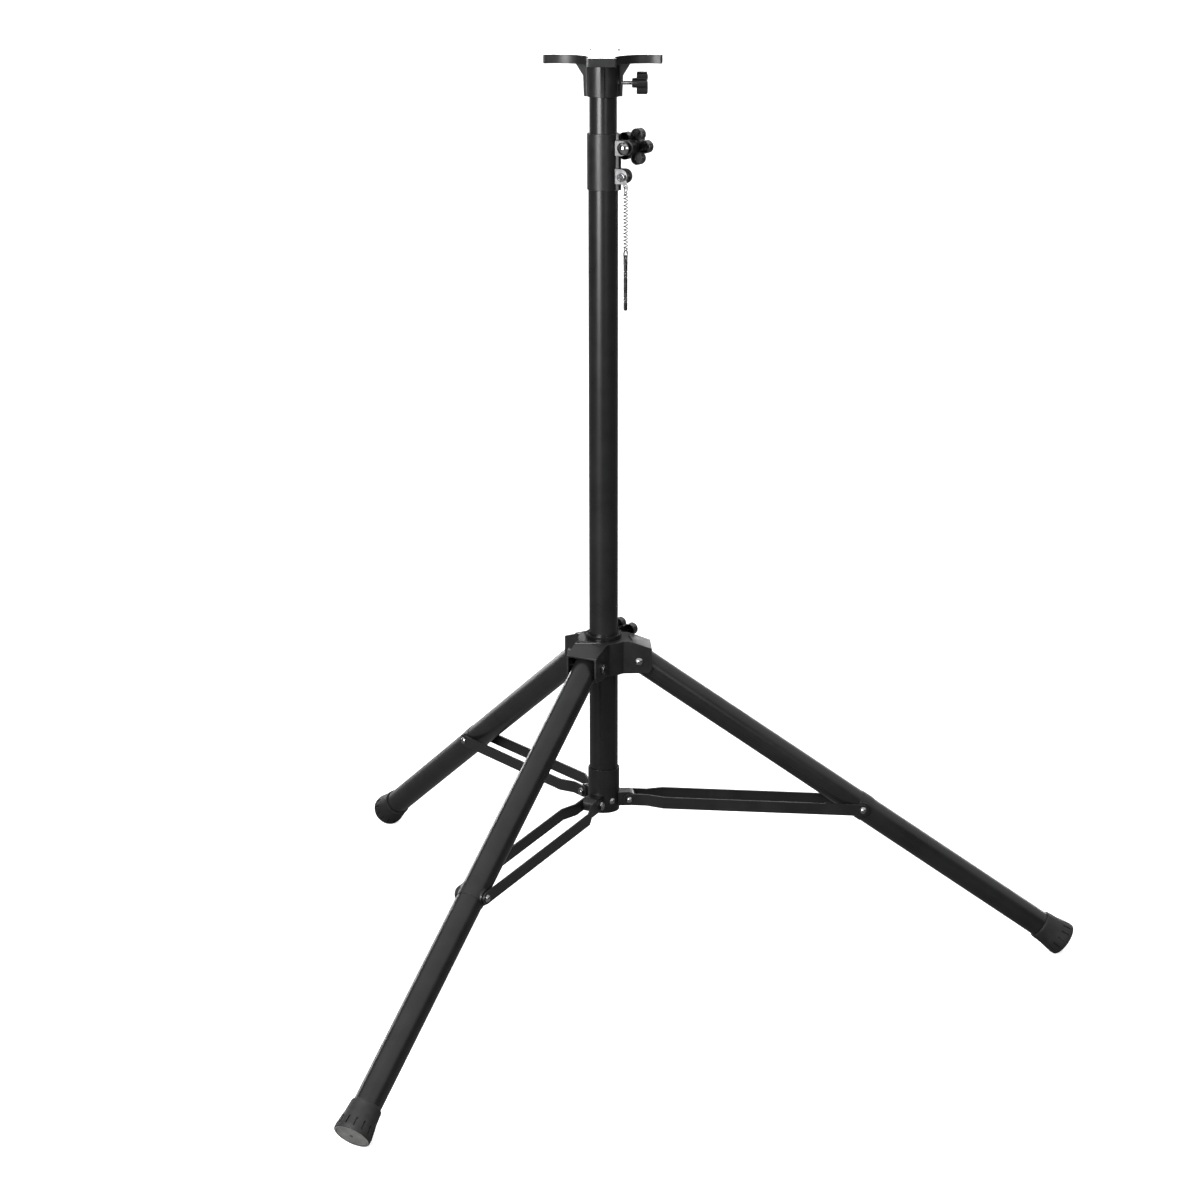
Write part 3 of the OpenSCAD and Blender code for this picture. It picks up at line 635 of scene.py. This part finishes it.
def makeScrew(look, length, threadLength):  # head's seat at z = 0, shank down to -length
    shank, head, rise = look["shank"], look["head"], look["rise"]
    profile = [(shank - 0.6, -length)] + threads(shank, 0.3 - length, threadLength - length)
    profile += [(shank, threadLength - length + 0.3), (shank, 0), (head - 0.25, 0), (head, 0.3)]
    ball = (head ** 2 + rise ** 2) / (2 * rise)
    for step in range(1, 9):
        height = 0.3 + (rise - 0.3) * math.sin(step / 8.2 * math.pi / 2)
        profile.append((math.sqrt(max(ball ** 2 - (height + ball - rise) ** 2, 0.01)), height))
    screw = turnShape([(radius * mm, height * mm) for radius, height in profile], 40)
    if look["socket"]:
        clearSelection()
        bpy.ops.mesh.primitive_cylinder_add(vertices=6, radius=look["socket"] * mm, depth=2 * mm,
                                            location=(0, 0, rise * mm))
        combine(screw, bpy.context.object)
    smoothSkin(screw, 30)
    return screw


seatReach = 0.012
headGrip = 3
screwLooks = {
    "knob_bolt": {"head": 8, "rise": 4, "shank": 4, "socket": 0, "thread": 16},
    "lower_clamp_bolt": {"head": 5.5, "rise": 3.4, "shank": 3, "socket": 1.9, "thread": 9},
    "collar_screw": {"head": 4.4, "rise": 2.6, "shank": 2.5, "socket": 1.6, "thread": 4},
    "collar_pivot_bolts": {"head": 5, "rise": 3.6, "shank": 3, "socket": 1.9, "thread": 6},
    "hub_pivot_bolts": {"head": 5.6, "rise": 3.4, "shank": 4, "socket": 2.2, "thread": 6},
    "brace_screws": {"head": 5, "rise": 3.6, "shank": 3, "socket": 1.9, "thread": 0}}
lowerBolt = middle("lower_clamp_nut")
lowerBolt = Vector((knobJoint["pos_m"][0], knobJoint["pos_m"][1], lowerBolt.z))
clampAxis = Vector(knobJoint["axis"])
collarScrewMiddle = middle("collar_screw")
collarScrewOut = (collarScrewMiddle * Vector((1, 1, 0))).normalized()
screwSeats = {
    "knob_bolt": [axes(knobJoint["pos_m"], -clampAxis, up)],
    "lower_clamp_bolt": [axes(lowerBolt, clampAxis, up)],
    "collar_screw": [axes((0, 0, collarScrewMiddle.z), collarScrewOut, up)],
    "collar_pivot_bolts": [axes(collarPivot[n], -legSide[n], up) for n in legs],
    "hub_pivot_bolts": [axes(legPivot[n], -legSide[n], up) for n in legs]}
for n in legs:
    ends = middle(f"brace_screws_{n}")
    screwSeats[f"brace_screws_{n}"] = [axes(ends, side * legSide[n], up) for side in (1, -1)]
for node, seats in screwSeats.items():
    look = screwLooks["brace_screws" if node.startswith("brace_screws") else node]
    screws = []
    for seat in seats:
        low, high, _ = nodeSpan(node, seat, seatReach)
        if node.startswith("brace_screws"):
            low = high - (look["rise"] + headGrip) * mm
        headSeat = high - look["rise"] * mm
        screw = makeScrew(look, (headSeat - low) / mm, look["thread"])
        settle(screw, seat @ Matrix.Translation((0, 0, headSeat)))
        screws.append(screw)
    dressPiece(joinPieces(screws), node)


def makeNut(radius, height, bore):  # seat at z = 0, top corners chamfered
    clearSelection()
    bpy.ops.mesh.primitive_cylinder_add(vertices=6, radius=radius, depth=height, location=(0, 0, height / 2))
    nut = bpy.context.object
    settle(nut)
    chamfer = 0.13 * radius
    cone = turnShape([
        (radius - chamfer, -0.1 * mm), (radius, 0.5 * chamfer), (radius, height - 0.7 * chamfer),
        (radius - 1.3 * chamfer, height)], 48)
    combine(nut, cone, "INTERSECT")
    combine(nut, turnShape([(bore, -1 * mm), (bore, height + 1 * mm)], 32))
    roundEdges(nut, 0.12 * mm, 2, 25)
    smoothSkin(nut, 30)
    return nut


nutSeats = {
    "lower_clamp_nut": ([axes(lowerBolt, -clampAxis, up)], 3.03),
    "collar_pivot_nuts": ([axes(collarPivot[n], legSide[n], up) for n in legs], 3.03),
    "hub_pivot_nuts": ([axes(legPivot[n], legSide[n], up) for n in legs], 4.03)}
for node, (seats, bore) in nutSeats.items():
    nuts = []
    for seat in seats:
        low, high, radius = nodeSpan(node, seat, seatReach)
        nut = makeNut(radius, high - low, bore * mm)
        settle(nut, seat @ Matrix.Translation((0, 0, low)))
        nuts.append(nut)
    dressPiece(joinPieces(nuts), node)


def makeThumbScrew():
    low, high, radius = nodeSpan("thumb_screw", thumbPlace)
    radius /= mm
    profile = [(radius - 0.5, low / mm)] + threads(radius, low / mm + 0.4, high / mm, 0.8)
    return turnShape([(r * mm, h * mm) for r, h in profile], 32)


screw = makeThumbScrew()
smoothSkin(screw, 50)
settle(screw, thumbPlace)
dressPiece(screw, "thumb_screw")
print("screws and nuts made")


boot = {
    "wall": 2, "lip": 0.8, "tube": 17.55, "waist": 20.7, "waistAt": 25.2, "swell": 0.9, "swellAt": 20,
    "flare": 23.5, "flareAt": 8, "grooveFloor": 19,
    "edge": 2, "sole": 6, "dimple": 1.7, "dimpleDepth": 1.5,
    "grooves": 14, "grooveDepth": 1.9, "grooveShare": 0.25,
    "grooveFrom": 17, "grooveTo": 6}


def makeBoot(node, place):
    low, high, _ = nodeSpan(node, place)
    low, high = low / mm, high / mm
    mouth = boot["tube"] + boot["wall"]
    flare, edge, lip = boot["flare"], boot["edge"], boot["lip"]
    tube, sole, swell = boot["tube"], high - boot["sole"], boot["waist"] + boot["swell"]
    profile = [(tube - 2, sole), (tube, sole), (tube, low + 0.4), (tube + 0.35, low)]
    profile += [(mouth - 0.6, low), (mouth, low + lip), (mouth + 0.35, low + 3.2)]
    profile += [(mouth + 0.1, low + 3.8), (mouth + 0.45, low + 6), (boot["waist"], high - boot["waistAt"])]
    profile += [(swell, high - boot["swellAt"])]
    grooves = [high - boot["grooveFrom"], high - boot["grooveTo"]]
    slope = (flare - swell) / (boot["swellAt"] - boot["flareAt"])
    shoulder = high - boot["flareAt"]
    profile += [(swell + slope * (grooves[0] - high + boot["swellAt"]), grooves[0])]
    profile += [(flare - 0.4, shoulder - 1), (flare, shoulder + 1), (flare, grooves[1] + 0.6)]
    for step in range(1, 5):
        turn = step / 4 * math.pi / 2
        profile.append((flare - edge + edge * math.cos(turn), high - edge + edge * math.sin(turn)))
    dimple, treadFace = boot["dimple"], high - 0.35
    profile += [(flare - edge - 1.4, high), (flare - edge - 1.8, treadFace), (dimple + 0.5, treadFace)]
    profile += [(dimple, high - 0.6), (dimple - 0.2, high - boot["dimpleDepth"])]
    piece = turnShape([(r * mm, h * mm) for r, h in profile], 8 * boot["grooves"])
    openEdit(piece)
    step = math.tau / boot["grooves"]

    def inGroove(centre, normal):
        onFlare = math.hypot(centre.x, centre.y) >= boot["grooveFloor"] * mm
        if not onFlare or not grooves[0] * mm < centre.z < (grooves[1] + 0.6) * mm:
            return False
        return math.atan2(centre.y, centre.x) % step < step * boot["grooveShare"]

    pickFaces(piece, inGroove)
    sink = {"value": -boot["grooveDepth"] * mm}
    bpy.ops.mesh.extrude_region_shrink_fatten(TRANSFORM_OT_shrink_fatten=sink)
    closeEdit()
    smoothSkin(piece, 40)
    piece.data.materials.append(finishes[slotOf[node]])
    # the sole's end face takes the light grey finish: painted bounce light from the floor, not the rubber's
    # own colour
    piece.data.materials.append(paintedBounceSoleFinish)
    for face in piece.data.polygons:
        if face.normal.z > 0.9 and face.center.z > (high - 0.5) * mm:
            face.material_index = 1
    settle(piece, place)
    return piece


for n in legs:
    dressPiece(makeBoot(f"foot_{n}", legPlace[n]), f"foot_{n}")
print("boots made")


lanyard = {"wire": 0.6, "pitch": 4.4, "steps": 26, "wireSides": 8, "endLoop": 1.6, "loopInset": 0.9}


def makeCoil(radius, wire, pitch, turns, low):  # a wire wound round Z from the height low
    clearSelection()
    bpy.ops.mesh.primitive_circle_add(vertices=lanyard["wireSides"], radius=wire, location=(radius, 0, low),
                                      rotation=(math.pi / 2, 0, 0))
    coil = bpy.context.object
    settle(coil)
    applyModifier(coil, "SCREW", angle=math.tau * turns, screw_offset=pitch * turns, axis="Z",
                  steps=int(lanyard["steps"] * turns), render_steps=int(lanyard["steps"] * turns))
    openEdit(coil, "EDGE")
    bpy.ops.mesh.select_non_manifold()
    bpy.ops.mesh.edge_face_add()
    closeEdit()
    fixNormals(coil)
    makeActive(coil)
    bpy.ops.object.shade_smooth_by_angle(angle=math.radians(60))
    return coil


def makeLanyard():
    wire, pitch = lanyard["wire"] * mm, lanyard["pitch"] * mm
    low, high, radius = nodeSpan("lanyard_spring", lanyardPlace)
    turns = int((high - low - 2 * wire) / pitch)
    coil = makeCoil(radius - wire, wire, pitch, turns, low + wire)
    loops = []
    for height in (low + lanyard["loopInset"] * mm, high - lanyard["loopInset"] * mm):
        clearSelection()
        bpy.ops.mesh.primitive_torus_add(
            major_radius=lanyard["endLoop"] * mm, minor_radius=wire, major_segments=28,
            minor_segments=lanyard["wireSides"], location=(0, 0, height), rotation=(math.pi / 2, 0, 0))
        settle(bpy.context.object)
        loops.append(bpy.context.object)
    coil = joinPieces([coil] + loops)
    settle(coil, lanyardPlace)
    coil.data.materials.append(wireFinish)
    dressPiece(coil, "lanyard_spring")
    for node, wound in (("lanyard_hook", 1.15), ("pin_ring", 1.9)):
        centre = middle(node)
        low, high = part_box(node)
        size = (high.z - low.z) / 2 - wire
        ring = makeCoil(size, wire, 1.3 * wire, wound, -0.5 * wire * wound)
        turnUp = axes(centre, clampOut, up)
        settle(ring, turnUp)
        ring.data.materials.append(wireFinish)
        dressPiece(ring, node)


pin = {
    "radius": 2.5, "tab": 9.5, "tabThick": 2.2, "hole": 1.3, "holeAt": 3.6, "tip": 1.6,
    "grooves": (11, 16.5, 42, 50), "grooveDepth": 0.45}


def makePin():
    low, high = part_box("locking_pin")
    length = (high.z - low.z) / mm
    radius = pin["radius"]
    profile = [(radius - 1.1, 0), (radius - 0.5, 0.5), (radius, pin["tip"])]
    floor = radius - pin["grooveDepth"]
    for grooveAt in pin["grooves"]:
        profile += [(radius, grooveAt - 0.6), (floor, grooveAt - 0.3), (floor, grooveAt + 0.3)]
        profile += [(radius, grooveAt + 0.6)]
    profile += [(radius, length - pin["tab"] - 0.5), (radius - 0.5, length - pin["tab"])]
    shaft = turnShape([(r * mm, h * mm) for r, h in profile], 32)
    clearSelection()
    bpy.ops.mesh.primitive_cylinder_add(vertices=32, radius=radius * mm, depth=pin["tabThick"] * mm,
                                        location=(0, 0, (length - radius) * mm), rotation=(math.pi / 2, 0, 0))
    tab = bpy.context.object
    settle(tab)
    clearSelection()
    bpy.ops.mesh.primitive_cube_add(size=1, location=(0, 0, (length - radius - pin["tab"] / 2) * mm))
    bar = bpy.context.object
    bar.scale = (2 * radius * mm, pin["tabThick"] * mm, pin["tab"] * mm)
    settle(bar)
    combine(tab, bar, "UNION")
    clearSelection()
    bpy.ops.mesh.primitive_cylinder_add(vertices=24, radius=pin["hole"] * mm, depth=8 * mm,
                                        location=(0, 0, (length - pin["holeAt"]) * mm),
                                        rotation=(math.pi / 2, 0, 0))
    combine(tab, bpy.context.object)
    combine(shaft, tab, "UNION")
    roundEdges(shaft, 0.2 * mm, 2, 40, clamp=True)
    smoothSkin(shaft, 40)
    shaft.data.materials.append(finishes["pin_steel"])
    shaft.data.materials.append(finishes["screw_steel"])
    brightBands = (pin["grooves"][:2], pin["grooves"][2:])
    for face in shaft.data.polygons:
        height = face.center.z / mm
        if any(start <= height <= end for start, end in brightBands):
            face.material_index = 1
    origin = Vector(joints["lanyard_swing"]["pos_m"])
    settle(shaft, axes((origin.x, origin.y, low.z), up, knobJoint["axis"]))
    return shaft


makeLanyard()
dressPiece(makePin(), "locking_pin")
print("lanyard made")


studio = {
    "floorSize": 120, "floorTone": 0.95, "floorGlow": 0.48, "bounceTone": 0.15,
    "skyAround": 0.1, "skyBehind": 11, "skyBehindTop": 0.15, "seenSky": 1.05,
    "sunPower": 2.5, "sunSpread": 120, "sunTilt": (-0.1, 0.16, 0)}
softboxes = {  # each one's place, what it points at, its size and its power
    "keyBox": ((-1.3, -1.8, 1.4), (0, 0, 1.1), (0.95, 1.4), 105),
    "fillBox": ((0.9, -2.6, 1.5), (0, 0, 1.15), (0.8, 1.2), 14)}


def makeFloor():
    clearSelection()
    bpy.ops.mesh.primitive_plane_add(size=studio["floorSize"])
    floor = bpy.context.object
    floor.name = "floor"
    material = bpy.data.materials.new("paleFloor")
    material.use_nodes = True
    shader = material.node_tree.nodes["Principled BSDF"]
    seen = addNode(material.node_tree, "ShaderNodeLightPath")  # bright to the camera, dim in the paint
    dim, bright = [studio["bounceTone"]] * 3, [studio["floorTone"]] * 3
    tone = mixColours(material.node_tree, seen.outputs["Is Camera Ray"], dim, bright)
    material.node_tree.links.new(tone, shader.inputs["Base Color"])
    glow = mixValues(material.node_tree, seen.outputs["Is Camera Ray"], 0, studio["floorGlow"])
    material.node_tree.links.new(glow, shader.inputs["Emission Strength"])
    shader.inputs["Emission Color"].default_value = (1, 1, 1, 1)
    shader.inputs["Roughness"].default_value = 0.7
    shader.inputs["Specular IOR Level"].default_value = 0.2
    floor.data.materials.append(material)


def makeSoftbox(name, position, target, size, power):
    light = bpy.data.lights.new(name, "AREA")
    light.shape = "RECTANGLE"
    light.size, light.size_y = size
    light.energy = power
    lamp = bpy.data.objects.new(name, light)
    lamp.location = position
    lamp.rotation_euler = (Vector(target) - Vector(position)).to_track_quat("-Z", "Y").to_euler()
    scene.collection.objects.link(lamp)


def makeWorld():
    world = bpy.data.worlds.new("studio")
    world.use_nodes = True
    tree = world.node_tree
    background = tree.nodes["Background"]
    place = addNode(tree, "ShaderNodeTexCoord")
    split = addNode(tree, "ShaderNodeSeparateXYZ")
    low = addNode(tree, "ShaderNodeMapRange", {"From Min": studio["skyBehindTop"], "From Max": 0.04})
    behind = addNode(tree, "ShaderNodeMapRange", {"From Min": 0.55, "From Max": 0.9})
    both = addNode(tree, "ShaderNodeMath", operation="MULTIPLY")
    seen = addNode(tree, "ShaderNodeLightPath")
    tree.links.new(place.outputs["Generated"], split.inputs["Vector"])
    tree.links.new(split.outputs["Z"], low.inputs["Value"])
    tree.links.new(split.outputs["Y"], behind.inputs["Value"])
    tree.links.new(low.outputs["Result"], both.inputs[0])
    tree.links.new(behind.outputs["Result"], both.inputs[1])
    glow = mixValues(tree, both.outputs["Value"], studio["skyAround"], studio["skyBehind"])
    strength = mixValues(tree, seen.outputs["Is Camera Ray"], glow, studio["seenSky"])
    tree.links.new(strength, background.inputs["Strength"])
    background.inputs["Color"].default_value = (1, 1, 1, 1)
    scene.world = world


def makeSun():
    light = bpy.data.lights.new("overhead", "SUN")
    light.energy = studio["sunPower"]
    light.angle = math.radians(studio["sunSpread"])
    lamp = bpy.data.objects.new("overhead", light)
    lamp.rotation_euler = studio["sunTilt"]
    scene.collection.objects.link(lamp)


camera = {
    "distance": 3.461, "height": 1.5054, "pitch": 0.27905, "yaw": -0.00138, "roll": -0.00131,
    "turn": -2.1, "lens": 81.57}


def makeCamera():
    turn = Matrix.Rotation(math.radians(camera["turn"]), 4, "Z")
    pitch, yaw, roll = camera["pitch"], camera["yaw"], camera["roll"]
    ahead = Vector((math.sin(yaw) * math.cos(pitch), math.cos(yaw) * math.cos(pitch), -math.sin(pitch)))
    right = Vector((math.cos(yaw), -math.sin(yaw), 0))
    above = right.cross(ahead)
    rightRolled = right * math.cos(roll) + above * math.sin(roll)
    aboveRolled = above * math.cos(roll) - right * math.sin(roll)
    view = Matrix((rightRolled, aboveRolled, -ahead)).transposed().to_4x4()
    lens = bpy.data.cameras.new("camera")
    lens.lens = camera["lens"]
    lens.clip_end = 200
    eye = bpy.data.objects.new("camera", lens)
    eye.matrix_world = turn @ Matrix.Translation((0, -camera["distance"], camera["height"])) @ view
    scene.collection.objects.link(eye)
    scene.camera = eye


makeFloor()
makeWorld()
makeSun()
for name, (position, target, size, power) in softboxes.items():
    makeSoftbox(name, position, target, size, power)
makeCamera()
scene.view_settings.view_transform = "Standard"
clearSelection()

print("stage set")
